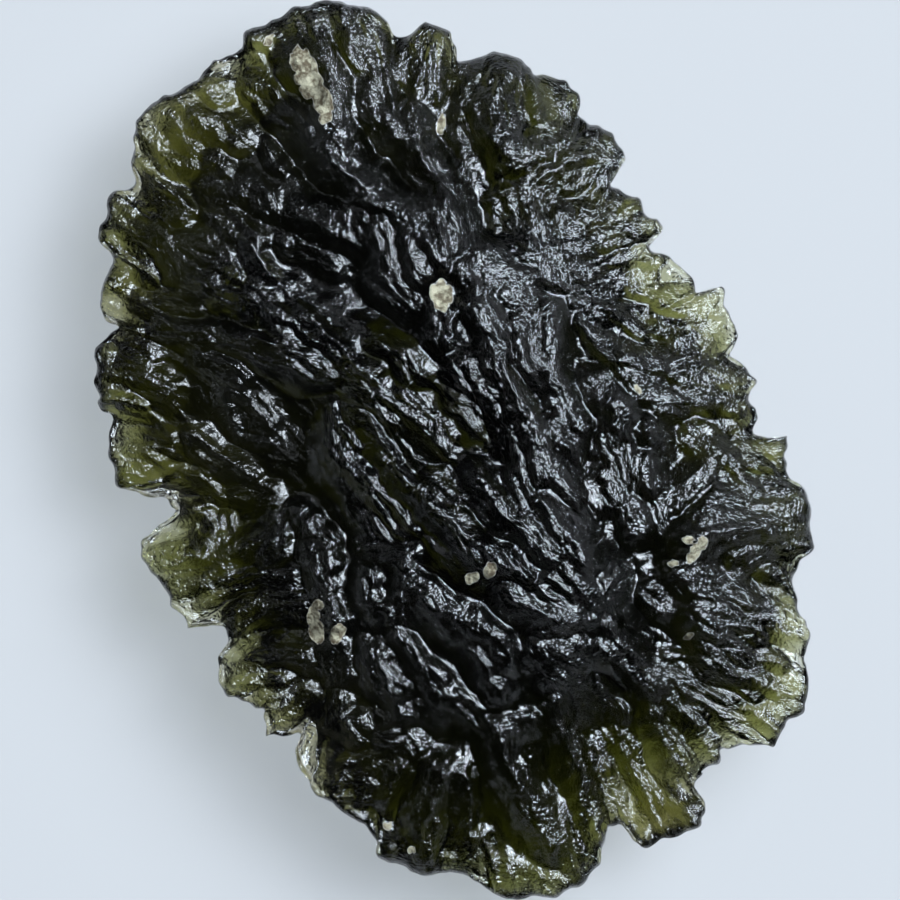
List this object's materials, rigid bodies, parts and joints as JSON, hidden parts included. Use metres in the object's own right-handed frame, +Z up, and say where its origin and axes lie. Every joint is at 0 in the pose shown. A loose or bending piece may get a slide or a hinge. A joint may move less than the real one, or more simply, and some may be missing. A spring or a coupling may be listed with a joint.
{
  "type": "moldavite",
  "caption": "A thin-rimmed, deeply etched piece of green tektite glass, with ridges that run out from a hub, lying flat on its worn underside.",
  "frame": {"origin": "centre of the footprint, on the plane that the piece rests on", "axes": "+Z up through the ridged face, +Y along the longest side, +X across"},
  "size_m": [0.03, 0.0372, 0.01],
  "materials": {
    "moldavite_glass": "deep olive-green natural glass, glossy and finely pitted, near black where thick and pale olive at the thin rim, with specks of tan soil"
  },
  "bodies": {
    "root": {"moldavite": "moldavite_glass"}
  },
  "joints": []
}
